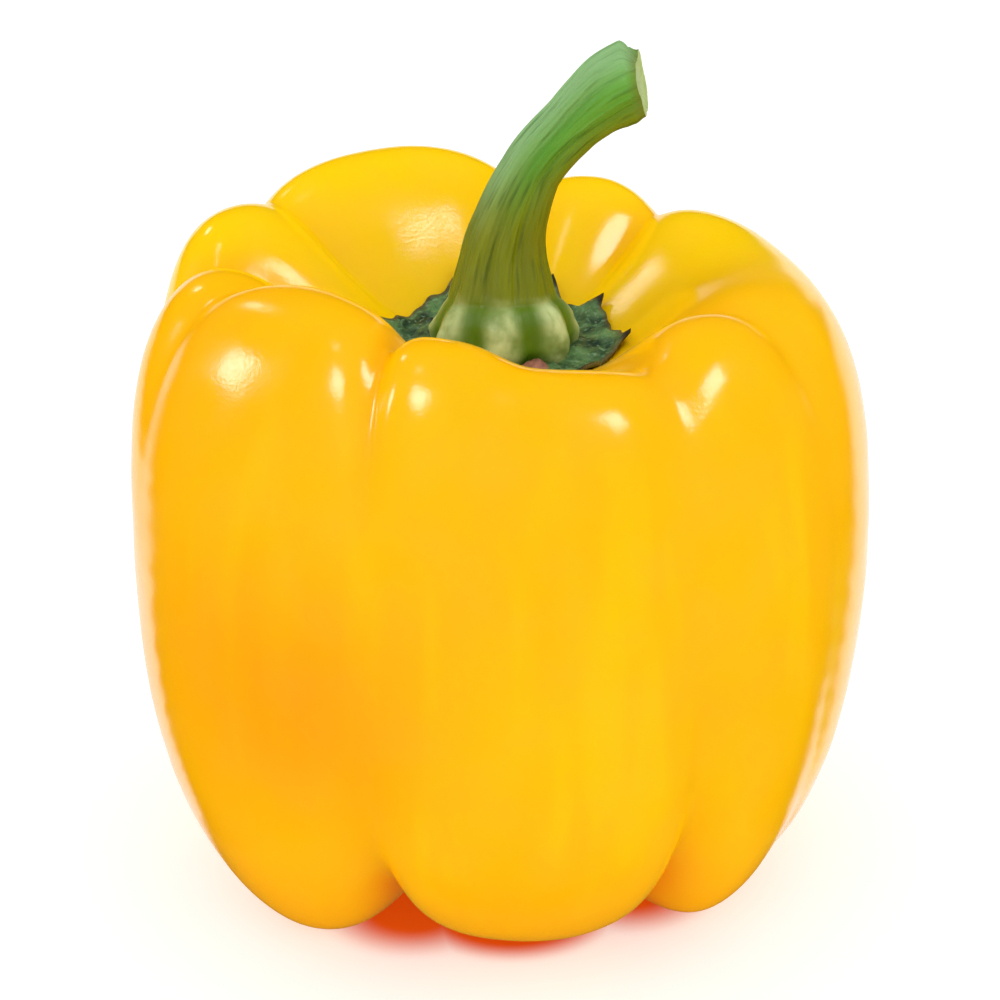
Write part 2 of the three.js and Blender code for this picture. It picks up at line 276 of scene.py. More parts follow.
def point_normals(points, faces):
    """Outward normals at the points, summed from the faces round each."""
    found = np.zeros_like(points)
    for corners in (3, 4):
        some = np.array([face for face in faces if len(face) == corners])
        at = [points[some[:, k]] for k in range(corners)]
        square = np.cross(at[2] - at[0], at[-1] - at[1])
        if corners == 3:
            square = np.cross(at[1] - at[0], at[2] - at[0])
        for k in range(corners):
            np.add.at(found, some[:, k], square)
    return found / np.linalg.norm(found, axis=1)[:, None]


# The fruit.
def fruit_shape():
    """Points and faces of the fruit, and how deep in a crease each point is."""
    azimuth = np.arange(FRUIT_COLUMNS) * FULL_TURN / FRUIT_COLUMNS
    net = control_net(azimuth)
    places = np.arange(1, SPANS * FRUIT_ROWS_PER_SPAN) / FRUIT_ROWS_PER_SPAN
    rows = [skin_row(net, place) for place in places]
    points = closed_points(skin_row(net, 0.0)[0], rows, skin_row(net, float(SPANS))[0])
    faces = closed_faces(len(rows), FRUIT_COLUMNS)
    relief = relief_at(azimuth)
    depth = 0.0
    for kind, station_shares in zip(GROOVE_WIDTH, PROFILE[:, 3:].T):
        shares = np.interp(places, np.arange(SPANS + 1), station_shares)
        depth = depth + shares[:, None] * relief[kind][None]
    return points, faces, between_poles(0.0, depth.ravel(), 0.0)


def fit_to_node(points, node):
    """Scale and shift that make the points fill the node's box exactly."""
    low, high = (np.array(corner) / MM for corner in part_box(node))
    least, most = points.min(axis=0), points.max(axis=0)
    scale = (high - low) / (most - least)
    return scale, low - least * scale


fruit_points, fruit_faces, fruit_groove = fruit_shape()
from_axis = np.hypot(fruit_points[:, 0], fruit_points[:, 1])
button = bell(from_axis, BUTTON_RADIUS, 4) * (fruit_points[:, 2] < BUTTON_BELOW)
fruit_points[:, 2] -= button * (BUTTON_HEIGHT + lumpy(fruit_points, [BUTTON_LUMPS]))
dent_share = ease(fruit_points[:, 2], DENTS_FROM, DENTS_IN_FULL) * (1.0 - button)
dents = lumpy(fruit_points, DENTS) * dent_share
fruit_points = fruit_points + point_normals(fruit_points, fruit_faces) * dents[:, None]
SCALE, SHIFT = fit_to_node(fruit_points, "fruit")


def placed(points):
    """Points in millimetres of the source's own axes, as metres in the frame."""
    return (points * SCALE + SHIFT) * MM


fruit = make_object("pepper_fruit", placed(fruit_points), fruit_faces)
give(fruit, "groove", fruit_groove)


# The calyx: a disc, level under the stem's foot, that slopes up with the cup's wall to its teeth.
FOOT_MIDDLE = (0.4, -1.5)
CALYX_RADIUS = 13.0
CALYX_LEVEL = 64.4
CALYX_LEVEL_RADIUS = 9.3
CALYX_SLOPE_END = 12.3
CALYX_COLUMNS = 360
CALYX_RINGS = 46
CALYX_CLEAR = 0.08

# Teeth: azimuth and reach past the calyx's radius. Their tips are thinner and turned up.
CALYX_TEETH = (
    (38, 2.3), (67, 2.8), (107, 2.8), (170, 2.5), (214, 1.6), (262, 1.4), (306, 2.4), (351, 2.0),
)
TOOTH_WIDTH = 8.0
TOOTH_THINNING = 0.35
TIP_START = 0.86
TIP_LIFT = 0.9
TIP_LIFT_END = 1.02

# Waves of the rim between the teeth: height, number round the rim, phase.
RIM_WAVES = ((0.18, 17, 1.0), (0.12, 29, 0.0))

# The wrinkled top: thickness, folds that run outwards, lumps and sharp ridges, all lower at the edge.
CALYX_THICKNESS = 1.6
CALYX_EDGE_THICKNESS = 0.35
FOLDS = 11
FOLD_HEIGHT = 0.3
FOLD_TWIST = 0.5
CALYX_LUMPS = ((1.5, 3.6, 2.0), (0.7, 1.6, 5.0), (0.2, 0.7, 9.0))
LEVEL_LUMPS_SHARE = 0.35
RIDGE_HEIGHT = 0.5
RIDGE_SIZE = 2.4
RIDGE_SEED = 7.0
RIDGE_SHARPNESS = 0.6
EDGE_START, EDGE_END = 0.86, 0.995
WRINKLES_AT_EDGE = 0.35
THICKNESS_AT_EDGE = 0.25
DRIED_RIM_START = 0.93

# A small dried scar on the calyx, at the front of the stem's foot.
SCAR_MIDDLE = (3.7, -10.4)
SCAR_RADIUS = 1.7
SCAR_HEIGHT = 1.1
SCAR_LUMPS = (0.5, 0.8, 4.0)

# The part of the profile that the calyx can lie on, in steps.
CUP_END = 4.0
CUP_STEPS = 121


def cup_heights(net, radius):
    """Height of the cup's floor at one radius for each azimuth."""
    rows = np.stack([skin_row(net, place) for place in np.linspace(0.0, CUP_END, CUP_STEPS)])
    across = np.hypot(rows[:, :, 0], rows[:, :, 1])
    return np.array([np.interp(radius[k], across[:, k], rows[:, k, 2]) for k in range(len(radius))])


def calyx_rim(azimuth):
    """Radius of the rim, and how much of a tooth's tip each azimuth has."""
    turn = np.radians(azimuth)
    shares = np.stack([np.exp(-apart(azimuth, place) / TOOTH_WIDTH) for place, _ in CALYX_TEETH])
    reaches = np.array([reach for _, reach in CALYX_TEETH])
    rim = CALYX_RADIUS + (shares * reaches[:, None]).sum(axis=0)
    for height, waves, phase in RIM_WAVES:
        rim = rim + height * np.sin(waves * turn + phase)
    return rim, shares.max(axis=0)


def calyx_shape():
    """Points and faces of the calyx, and its tips, rim and scar for the materials."""
    azimuth = np.arange(CALYX_COLUMNS) * FULL_TURN / CALYX_COLUMNS
    net = control_net(azimuth)
    turn = np.radians(azimuth)
    rim, tooth = calyx_rim(azimuth)
    tops, bottoms, tips, rims, scars = [], [], [], [], []
    for ring in range(1, CALYX_RINGS + 1):
        share = ring / CALYX_RINGS
        radius = rim * share
        across = np.stack([radius * np.cos(turn), radius * np.sin(turn)], axis=1)
        floor = cup_heights(net, radius)
        flat = np.column_stack([across, floor])
        from_foot = np.hypot(across[:, 0] - FOOT_MIDDLE[0], across[:, 1] - FOOT_MIDDLE[1])
        rise = ease(from_foot, CALYX_LEVEL_RADIUS, CALYX_SLOPE_END)
        inside = ease(share, EDGE_END, EDGE_START)
        folds = FOLD_HEIGHT * (1 - tooth) * np.sin(FOLDS * turn + FOLD_TWIST * radius)
        lumps = lumpy(flat, CALYX_LUMPS)
        ridges = RIDGE_HEIGHT * (1 - 2 * np.abs(noisy(flat, RIDGE_SIZE, RIDGE_SEED)) ** RIDGE_SHARPNESS)
        wrinkles = (folds + lumps + ridges) * (WRINKLES_AT_EDGE + (1 - WRINKLES_AT_EDGE) * inside)
        thick = (CALYX_THICKNESS + wrinkles) * (1 - TOOTH_THINNING * tooth * rise)
        above_edge = np.maximum(thick - CALYX_EDGE_THICKNESS, 0.0)
        thick = CALYX_EDGE_THICKNESS + above_edge * (THICKNESS_AT_EDGE + (1 - THICKNESS_AT_EDGE) * inside)
        high = CALYX_LEVEL + (floor + CALYX_CLEAR + thick - CALYX_LEVEL) * rise
        high = high + LEVEL_LUMPS_SHARE * lumps * (1 - rise)
        scar = bell(np.hypot(across[:, 0] - SCAR_MIDDLE[0], across[:, 1] - SCAR_MIDDLE[1]), SCAR_RADIUS, 4)
        high = high + scar * (SCAR_HEIGHT + lumpy(flat, [SCAR_LUMPS]))
        upturned = TIP_LIFT * tooth * ease(share, TIP_START, TIP_LIFT_END)
        tops.append(np.column_stack([across, high + upturned]))
        bottoms.append(np.column_stack([across, floor + CALYX_CLEAR + upturned]))
        tips.append(tooth * ease(share, TIP_START, 1.0))
        rims.append(np.full(CALYX_COLUMNS, ease(share, DRIED_RIM_START, 1.0)))
        scars.append(scar)
    rows = tops + bottoms[::-1]
    first = np.array([0.0, 0.0, CALYX_LEVEL])
    last = np.array([0.0, 0.0, skin_row(net, 0.0)[0, 2] + CALYX_CLEAR])
    marks = {"tip": tips, "rim": rims, "scar": scars}
    for name, rings in marks.items():
        marks[name] = between_poles(0.0, np.concatenate(rings + rings[::-1]), 0.0)
    return closed_points(first, rows, last), closed_faces(len(rows), CALYX_COLUMNS), marks


calyx_points, calyx_faces, calyx_marks = calyx_shape()
calyx = make_object("pepper_calyx", placed(calyx_points), calyx_faces)
for mark_name, mark_values in calyx_marks.items():
    give(calyx, mark_name, mark_values)


# The stem: the line that it follows, and its radius at shares of its length.
STEM_FOOT_HEIGHT = 64.2
STEM_LINE = (
    (*FOOT_MIDDLE, STEM_FOOT_HEIGHT),
    (*FOOT_MIDDLE, 67.0),
    (0.3, -0.9, 71.0),
    (0.8, -0.2, 77.0),
    (3.5, 0.2, 84.2),
    (7.6, 0.0, 89.3),
    (11.8, -0.4, 93.2),
    (15.3, -0.9, 95.3),
)
STEM_RADII = (
    (0.0, 7.5), (0.05, 8.1), (0.1, 7.4), (0.17, 5.8), (0.27, 4.8),
    (0.4, 3.9), (0.55, 3.25), (0.75, 3.3), (0.84, 3.75), (0.9, 4.15), (1.0, 4.3),
)
STEM_SIDES = 180
STEM_RINGS = 220
STEPS_PER_KNOT = 40
RADIUS_SMOOTHINGS = 6

# Ribs, strong on the foot and soft above it, and the lumps of the foot.
STEM_RIBS = 7
RIB_PHASE = -1.38
RIB_HEIGHT = 0.2
RIB_HEIGHT_MORE_AT_FOOT = 0.55
RIB_SHARPNESS = 1.8
STEM_FOOT_END = 0.16
STEM_FOOT_LUMPS = ((0.32, 2.2, 11.0), (0.12, 0.9, 12.0))

# Fine lines along the stem: depth, number round it, how far they sway, how often along the stem.
STEM_LINES_WAVY = (0.05, 31, 2, 9)
STEM_LINES_LEANING = (0.04, 53, 3)

# Seams between the foot's top and the flared end, and the line round the neck.
STEM_SEAMS = np.array([20.0, 98.0, 160.0, 205.0, 252.0, 285.0, 330.0])
SEAM_DEPTH = 0.32
SEAM_WIDTH = 5.0
SEAMS_START, SEAMS_IN_FULL = 0.12, 0.2
SEAMS_FADE, SEAMS_END = 0.6, 0.95
RING_PLACE = 0.15
RING_DEPTH = 0.22
RING_WIDTH = 0.012

# The cut end: slanted, a little lobed, rounded at its edge and more so on its upper side. The cut face
# is given as rings, each with its share of the edge's radius and how deep it lies.
CUT_SLANT = -18.0
CUT_SLANT_START = 0.85
END_ROUNDING = 0.35
END_ROUNDING_START = 0.97
END_LOBES = 5
END_LOBE_DEPTH = 0.25
END_LOBE_PHASE = 1.0
END_LOBES_START = 0.8
SHOULDER_ROUNDING = 2.4
SHOULDER_START = 0.955
CUT_RINGS = ((0.97, -0.03), (0.93, 0.02), (0.86, 0.18), (0.7, 0.3), (0.5, 0.34), (0.3, 0.36), (0.12, 0.36))
CUT_DEPTH = 0.36
CUT_FACE_MARK = 1.1


def smooth_line(knots, count):
    """Even steps along a smooth curve through the knots: places, tangents and lengths so far."""
    knots = np.array(knots)
    padded = np.vstack([2 * knots[0] - knots[1], knots, 2 * knots[-1] - knots[-2]])
    fine = []
    for k in range(len(knots) - 1):
        p0, p1, p2, p3 = padded[k:k + 4]
        for t in np.arange(STEPS_PER_KNOT) / STEPS_PER_KNOT:
            fine.append(0.5 * (2 * p1 + (p2 - p0) * t + (2 * p0 - 5 * p1 + 4 * p2 - p3) * t ** 2
                               + (3 * p1 - p0 - 3 * p2 + p3) * t ** 3))
    fine = np.array(fine + [knots[-1]])
    length = np.concatenate([[0.0], np.cumsum(np.linalg.norm(np.diff(fine, axis=0), axis=1))])
    wanted = np.linspace(0.0, length[-1], count)
    places = np.stack([np.interp(wanted, length, fine[:, axis]) for axis in range(3)], axis=1)
    tangents = np.gradient(places, axis=0)
    return places, tangents / np.linalg.norm(tangents, axis=1)[:, None], wanted


def stem_relief(along, turn, at_foot):
    """What the ribs, lines, seams, neck line and end add to the stem's radius round one ring."""
    wave = np.cos(STEM_RIBS * turn + RIB_PHASE)
    rib_height = RIB_HEIGHT + RIB_HEIGHT_MORE_AT_FOOT * at_foot
    ribs = rib_height * (1 - 2 * ((1 - wave) / 2) ** RIB_SHARPNESS)
    depth, count, sway, often = STEM_LINES_WAVY
    lines = depth * np.sin(count * turn + sway * np.sin(often * along))
    depth, count, lean = STEM_LINES_LEANING
    lines = lines + depth * np.sin(count * turn + lean * along)
    seams = SEAM_DEPTH * bell(apart(np.degrees(turn)[:, None], STEM_SEAMS), SEAM_WIDTH).sum(axis=1)
    seams = seams * ease(along, SEAMS_START, SEAMS_IN_FULL) * ease(along, SEAMS_END, SEAMS_FADE)
    neck = RING_DEPTH * bell(along - RING_PLACE, RING_WIDTH)
    end = END_ROUNDING * ease(along, END_ROUNDING_START, 1.0)
    lobed = END_LOBE_DEPTH * np.sin(END_LOBES * turn + END_LOBE_PHASE)
    end = end + lobed * ease(along, END_LOBES_START, 1.0)
    upper_side = np.clip(-np.cos(turn), 0.0, 1.0) ** 2
    end = end + SHOULDER_ROUNDING * ease(along, SHOULDER_START, 1.0) * upper_side
    return ribs + lines * (1 - at_foot) - seams - neck - end


def stem_shape():
    """Points and faces of the stem, and the numbers along and round it for the materials."""
    places, tangents, lengths = smooth_line(STEM_LINE, STEM_RINGS + 1)
    along = lengths / lengths[-1]
    radii = np.interp(along, *np.array(STEM_RADII).T)
    for _ in range(RADIUS_SMOOTHINGS):
        radii[1:-1] = (radii[:-2] + 2 * radii[1:-1] + radii[2:]) / 4.0
    turn = np.arange(STEM_SIDES) * 2 * np.pi / STEM_SIDES
    rows = []
    for k in range(STEM_RINGS + 1):
        tangent = tangents[k]
        away = np.array([0.0, 1.0, 0.0]) - tangent[1] * tangent
        away = away / np.linalg.norm(away)
        across = np.cross(away, tangent)
        at_foot = 1 - ease(along[k], 0.0, STEM_FOOT_END)
        round_it = np.outer(np.cos(turn), across) + np.outer(np.sin(turn), away)
        radius = radii[k] + stem_relief(along[k], turn, at_foot)
        smooth_row = places[k] + radius[:, None] * round_it
        radius = radius + at_foot * lumpy(smooth_row, STEM_FOOT_LUMPS)
        slant = math.tan(math.radians(CUT_SLANT)) * ease(along[k], CUT_SLANT_START, 1.0)
        slanted = np.outer(slant * radius * np.cos(turn), tangent)
        rows.append(places[k] + radius[:, None] * round_it + slanted)
    edge = rows[-1]
    middle = edge.mean(axis=0)
    cut = [middle + (edge - middle) * share - tangents[-1] * sink for share, sink in CUT_RINGS]
    order = cut[::-1] + rows[::-1]
    points = closed_points(middle - tangents[-1] * CUT_DEPTH, order, places[0])
    rings_along = np.concatenate([np.full(len(cut), CUT_FACE_MARK), along[::-1]])
    marks = {"along": between_poles(CUT_FACE_MARK, np.repeat(rings_along, STEM_SIDES), 0.0)}
    rib = (1 + np.cos(STEM_RIBS * turn + RIB_PHASE)) / 2
    for name, values in (("round_x", np.cos(turn)), ("round_y", np.sin(turn)), ("rib", rib)):
        marks[name] = between_poles(0.0, np.tile(values, len(order)), 0.0)
    return points, closed_faces(len(order), STEM_SIDES), marks


stem_points, stem_faces, stem_marks = stem_shape()
stem = make_object("pepper_stem", placed(stem_points), stem_faces)
for mark_name, mark_values in stem_marks.items():
    give(stem, mark_name, mark_values)


# Materials.
def srgb(red, green, blue):
    """A colour as seen on screen, 0 to 255, in the linear values that the shaders take."""
    values = [channel / 255.0 for channel in (red, green, blue)]
    return [v / 12.92 if v <= 0.04045 else ((v + 0.055) / 1.055) ** 2.4 for v in values] + [1.0]


class Look:
    """A material and short ways to add its nodes."""

    def __init__(self, name):
        self.material = bpy.data.materials.new(name)
        self.material.use_nodes = True
        self.nodes = self.material.node_tree.nodes
        self.links = self.material.node_tree.links
        self.shader = self.nodes["Principled BSDF"]
        self.place = self.nodes.new("ShaderNodeTexCoord").outputs["Object"]

    def set(self, **values):
        for name, value in values.items():
            self.shader.inputs[name.replace("_", " ")].default_value = value

    def drive(self, name, output):
        self.links.new(output, self.shader.inputs[name])

    def feed(self, socket, value):
        """A fixed value or another node's output, for one of a node's inputs."""
        if isinstance(value, (int, float, list)):
            socket.default_value = value
        else:
            self.links.new(value, socket)

    def number(self, name):
        """One of the numbers that the mesh keeps for each point."""
        node = self.nodes.new("ShaderNodeAttribute")
        node.attribute_name = name
        return node.outputs["Fac"]

    def axis(self, name):
        node = self.nodes.new("ShaderNodeSeparateXYZ")
        self.links.new(self.place, node.inputs[0])
        return node.outputs[name]

    def noise(self, size, detail=3.0, stretch=(1, 1, 1), place=None):
        """Noise with features of about size millimetres, from 0 to 1."""
        scaled = self.nodes.new("ShaderNodeVectorMath")
        scaled.operation = "MULTIPLY"
        scaled.inputs[1].default_value = [factor / (size * MM) for factor in stretch]
        self.links.new(place or self.place, scaled.inputs[0])
        node = self.nodes.new("ShaderNodeTexNoise")
        node.inputs["Scale"].default_value = 1.0
        node.inputs["Detail"].default_value = detail
        self.links.new(scaled.outputs[0], node.inputs["Vector"])
        return node.outputs["Fac"]

    def along_body(self, names):
        """A place made of three of the mesh's own numbers, in place of x, y and z."""
        node = self.nodes.new("ShaderNodeCombineXYZ")
        for socket, name in zip(node.inputs, names):
            self.links.new(self.number(name), socket)
        return node.outputs[0]

    def distance(self, point):
        """Distance in millimetres from a point given in millimetres."""
        node = self.nodes.new("ShaderNodeVectorMath")
        node.operation = "DISTANCE"
        node.inputs[1].default_value = [value * MM for value in point]
        self.links.new(self.place, node.inputs[0])
        return self.combine("DIVIDE", node.outputs["Value"], MM)

    def span(self, value, low, high, start=0.0, end=1.0):
        """Value from low to high turned into start to end, smoothly and held at both."""
        node = self.nodes.new("ShaderNodeMapRange")
        node.interpolation_type = "SMOOTHSTEP"
        for name, number in (("From Min", low), ("From Max", high), ("To Min", start), ("To Max", end)):
            node.inputs[name].default_value = number
        self.links.new(value, node.inputs["Value"])
        return node.outputs["Result"]

    def combine(self, operation, first, second):
        node = self.nodes.new("ShaderNodeMath")
        node.operation = operation
        self.feed(node.inputs[0], first)
        self.feed(node.inputs[1], second)
        return node.outputs[0]

    def mix(self, share, first, second):
        """First where share is 0, second where it is 1."""
        node = self.nodes.new("ShaderNodeMix")
        node.data_type = "RGBA"
        self.links.new(share, node.inputs["Factor"])
        self.feed(node.inputs["A"], first)
        self.feed(node.inputs["B"], second)
        return node.outputs["Result"]

    def bump(self, height, depth):
        """Bump of depth millimetres where height goes from 0 to 1."""
        node = self.nodes.new("ShaderNodeBump")
        node.inputs["Strength"].default_value = 1.0
        node.inputs["Distance"].default_value = depth * MM
        self.links.new(height, node.inputs["Height"])
        self.drive("Normal", node.outputs["Normal"])


# Colours of the ripe skin and of its painted shade and light, and the places of its patches in
# millimetres.
RIPE = (srgb(255, 178, 0), srgb(255, 192, 0))
PALE_STREAKS = srgb(255, 200, 0)
UPPER_PAINTED_SHADE = srgb(255, 184, 0)
LOWER_SKIN = srgb(255, 178, 0)
LEFT_PAINTED_SHADE = srgb(255, 160, 0)
PAINTED_SHADE_PATCH = srgb(255, 150, 0)
SHADE_PATCH_MIDDLE = (-21.0, -33.0, 37.0)
SHADE_PATCH_EDGE = 25.0
BACK_PAINTED_LIGHT = srgb(255, 206, 0)
CREASE_PAINTED_SHADE = srgb(253, 136, 0)
CORK = (srgb(96, 62, 30), srgb(178, 132, 76))
CORK_MIDDLE = (0.0, 0.0, 4.2)
CORK_EDGE, CORK_CORE = 3.0, 2.0

# Where the skin's colours change, in metres: from the place with none of a colour to that with most.
# The upper and left colours are painted shade, the back one painted light.
UPPER_SHADE_FROM, UPPER_SHADE_TO = 0.05, 0.076
LOWER_SKIN_FROM, LOWER_SKIN_TO = 0.02, 0.003
LEFT_SHADE_FROM, LEFT_SHADE_TO = -0.012, -0.036
BACK_LIGHT_FROM, BACK_LIGHT_TO = -0.016, 0.012

# How deep in a crease, in millimetres, its painted shade begins and is full.
CREASE_SHADE_FROM, CREASE_SHADE_TO = 2.5, 9.0

# Noise sizes of the skin in millimetres, and how far the streaks are drawn out along the height.
RIPE_SIZE = 22.0
STREAK_SIZE = 7.0
STREAK_STRETCH = (1, 1, 0.12)
CORK_SIZE = 0.7
WAX_SIZE = 6.0
PORE_SIZES = (1.1, 0.35)
PORE_DEPTH = 0.012

# The wax's roughness, and how far light of each colour goes into the flesh, in metres.
WAX_ROUGHNESS = (0.13, 0.19)
SKIN_TRANSLUCENCE = 0.3
SKIN_LIGHT_REACH = (1.0, 0.45, 0.05)
SKIN_LIGHT_DEPTH = 0.006

# Values of noise between which most of it lies.
NOISE_LOW, NOISE_HIGH = 0.3, 0.7


def skin_material():
    """Waxy yellow skin, more orange low down; painted shade in creases, on the left and top; painted light
    behind.
    """
    look = Look("pepper_skin")
    height = look.axis("Z")
    side = look.axis("X")
    flank = look.mix(look.noise(RIPE_SIZE), *RIPE)
    streaks = look.span(look.noise(STREAK_SIZE, 2.0, STREAK_STRETCH), 0.5, NOISE_HIGH, 0.0, 0.5)
    streaked = look.mix(streaks, flank, PALE_STREAKS)
    # Painted shade: the upper part is toned down, as the lights overbrighten it.
    upper = look.mix(look.span(height, UPPER_SHADE_FROM, UPPER_SHADE_TO, 0.0, 0.7), streaked, UPPER_PAINTED_SHADE)
    low = look.mix(look.span(height, LOWER_SKIN_FROM, LOWER_SKIN_TO), upper, LOWER_SKIN)
    # Painted shade: the left side is made more orange, as it lies darker in the light.
    left = look.mix(look.span(side, LEFT_SHADE_FROM, LEFT_SHADE_TO, 0.0, 0.25), low, LEFT_PAINTED_SHADE)
    # Painted shade: a soft deeper orange patch on the front left flank, turned from the light.
    in_shade_patch = look.span(look.distance(SHADE_PATCH_MIDDLE), SHADE_PATCH_EDGE, 0.0, 0.0, 0.75)
    shade_patched = look.mix(in_shade_patch, left, PAINTED_SHADE_PATCH)
    # Painted light: the back, whose walls face the lights, is made paler yellow.
    back_light_share = look.span(look.axis("Y"), BACK_LIGHT_FROM, BACK_LIGHT_TO, 0.0, 0.85)
    behind = look.mix(back_light_share, shade_patched, BACK_PAINTED_LIGHT)
    # Painted shade: the skin turns deeper orange with the depth of a crease.
    crease_shade_share = look.span(look.number("groove"), CREASE_SHADE_FROM, CREASE_SHADE_TO, 0.0, 0.5)
    crease_shaded = look.mix(crease_shade_share, behind, CREASE_PAINTED_SHADE)
    corky = look.mix(look.noise(CORK_SIZE, 5.0), *CORK)
    in_button = look.span(look.distance(CORK_MIDDLE), CORK_EDGE, CORK_CORE)
    look.drive("Base Color", look.mix(in_button, crease_shaded, corky))
    look.drive("Roughness", look.span(look.noise(WAX_SIZE), NOISE_LOW, NOISE_HIGH, *WAX_ROUGHNESS))
    look.set(Subsurface_Weight=SKIN_TRANSLUCENCE, Subsurface_Radius=SKIN_LIGHT_REACH)
    look.set(Subsurface_Scale=SKIN_LIGHT_DEPTH)
    broad_pores, fine_pores = PORE_SIZES
    pores = look.combine("ADD", look.noise(broad_pores, 2.0), look.noise(fine_pores, 1.0))
    look.bump(pores, PORE_DEPTH)
    return look.material


CALYX_GREEN = (srgb(28, 64, 36), srgb(104, 148, 82))
CALYX_SPECKS = srgb(132, 170, 122)
DRIED_RIM = srgb(104, 84, 34)
DRIED_TIPS = srgb(34, 28, 18)
SCAR_BROWN = (srgb(84, 44, 24), srgb(196, 130, 104))

# Noise sizes of the calyx in millimetres, its roughness, and the depth of its fine wrinkles.
CALYX_PATCH_SIZE = 2.6
CALYX_SPECK_SIZE = 0.5
SCAR_SIZE = 0.6
CALYX_SHEEN_SIZE = 0.8
CALYX_WRINKLE_SIZE = 0.7
CALYX_WRINKLE_DEPTH = 0.3
CALYX_ROUGHNESS = (0.4, 0.6)
CALYX_GLOSS = 0.5
CALYX_TRANSLUCENCE = 0.06
GREEN_LIGHT_DEPTH = 0.001


def calyx_material():
    """Dark green tissue with pale specks, brown along the rim, nearly black at the tips."""
    look = Look("pepper_calyx")
    patches = look.span(look.noise(CALYX_PATCH_SIZE, 5.0), NOISE_LOW, NOISE_HIGH)
    body = look.mix(patches, *CALYX_GREEN)
    specks = look.span(look.noise(CALYX_SPECK_SIZE, 4.0), 0.52, 0.68, 0.0, 0.7)
    speckled = look.mix(specks, body, CALYX_SPECKS)
    dried = look.mix(look.span(look.number("rim"), 0.3, 1.0, 0.0, 0.7), speckled, DRIED_RIM)
    tipped = look.mix(look.span(look.number("tip"), 0.45, 0.8), dried, DRIED_TIPS)
    scar = look.mix(look.noise(SCAR_SIZE, 4.0), *SCAR_BROWN)
    look.drive("Base Color", look.mix(look.span(look.number("scar"), 0.25, 0.6), tipped, scar))
    sheen = look.noise(CALYX_SHEEN_SIZE)
    look.drive("Roughness", look.span(sheen, NOISE_LOW, NOISE_HIGH, *CALYX_ROUGHNESS))
    look.set(Specular_IOR_Level=CALYX_GLOSS, Subsurface_Weight=CALYX_TRANSLUCENCE)
    look.set(Subsurface_Scale=GREEN_LIGHT_DEPTH)
    look.bump(look.noise(CALYX_WRINKLE_SIZE, 6.0), CALYX_WRINKLE_DEPTH)
    return look.material


STEM_MIDDLE_GREEN = (srgb(84, 104, 0), srgb(136, 146, 8))
STEM_TOP_GREEN = (srgb(72, 136, 18), srgb(116, 176, 70))
# A painted highlight on the upper side, olive underneath with painted bounce light, foot with painted
# highlight.
STEM_UPPER_PAINTED_HIGHLIGHT = srgb(156, 194, 146)
STEM_UNDERSIDE_AND_BOUNCE = srgb(116, 120, 0)
STEM_FOOT_GREEN_AND_HIGHLIGHT = (srgb(86, 122, 16), srgb(206, 222, 158))
STEM_DARK_LINES = srgb(48, 78, 6)
STEM_LIP = srgb(112, 120, 30)
STEM_CUT = (srgb(140, 168, 84), srgb(196, 208, 140))

# Places along the stem, as shares of its length, between which one colour gives way to the next.
FOOT_COLOUR_END, FOOT_COLOUR_START = 0.19, 0.12
DARK_LINES_FROM, DARK_LINES_TO = 0.12, 0.24
UNDERSIDE_FROM, UNDERSIDE_TO = 0.15, 0.4
UPPER_HIGHLIGHT_FROM, UPPER_HIGHLIGHT_TO = 0.3, 0.6
TOP_GREEN_FROM, TOP_GREEN_TO = 0.34, 0.66
LIP_FROM, LIP_TO = 0.965, 1.0
CUT_FROM, CUT_TO = 1.0, 1.05

# Noise that follows the stem, as lines along it: size in thousandths of the stem's radius round it and
# of its length along it, and stretch.
FINE_LINE_SIZE = 130.0
FINE_LINE_STRETCH = (1.0, 1.0, 0.8)
BROAD_LINE_SIZE = 420.0
BROAD_LINE_STRETCH = (1.0, 1.0, 1.6)

# Other noise sizes of the stem in millimetres, its roughness, and the depth of its fine lines.
FOOT_MOTTLE_SIZE = 3.4
CUT_GRAIN_SIZE = 0.8
STEM_SHEEN_SIZE = 1.5
STEM_ROUGHNESS = (0.34, 0.48)
STEM_GLOSS = 0.22
STEM_TRANSLUCENCE = 0.08
FINE_LINE_DEPTH = 0.14


